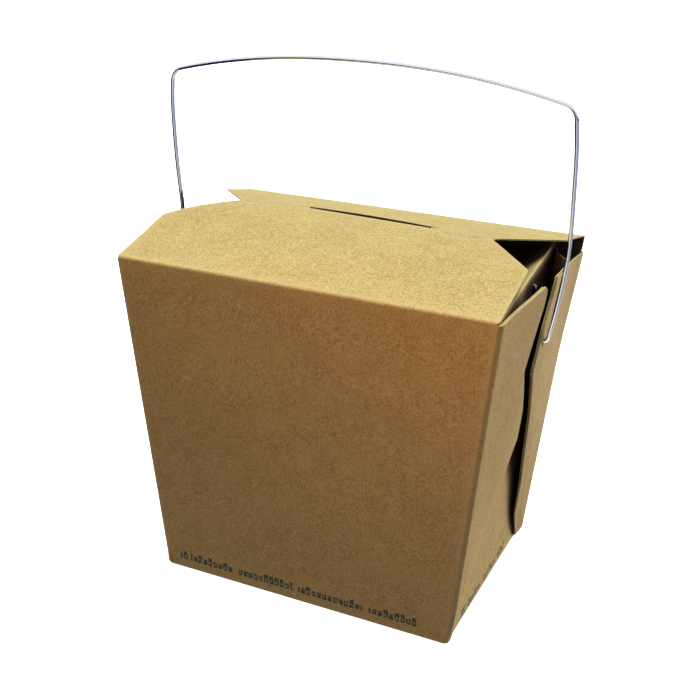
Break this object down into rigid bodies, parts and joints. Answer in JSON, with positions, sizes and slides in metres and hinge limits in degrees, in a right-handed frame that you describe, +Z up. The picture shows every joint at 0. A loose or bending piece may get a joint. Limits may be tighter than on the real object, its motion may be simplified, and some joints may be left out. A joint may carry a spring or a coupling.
{
  "type": "paperboard takeaway box",
  "caption": "Tapered kraft paperboard takeaway box, folded shut under a low arched lid with a tucked tongue, with a wire carrying handle that swings.",
  "frame": {"origin": "centre of the bounding box on the table surface, under the middle of the base", "axes": "+X to the right along the wide front, +Y from the front to the rear, +Z up through the base and the lid"},
  "size_m": [0.1225, 0.077, 0.1516],
  "materials": {
    "kraft_board": "uncoated brown kraft board, matt, with fine fibre flecks",
    "bright_wire": "bright drawn steel wire, polished"
  },
  "bodies": {
    "box": {"carton": "kraft_board"},
    "handle": {"wire_handle": "bright_wire"}
  },
  "joints": [
    {"name": "handle_swing", "type": "hinge", "parent": "box", "child": "handle", "pos_m": [0, 0, 0.0807], "axis": [1, 0, 0], "range_deg": [-145, 145]}
  ]
}
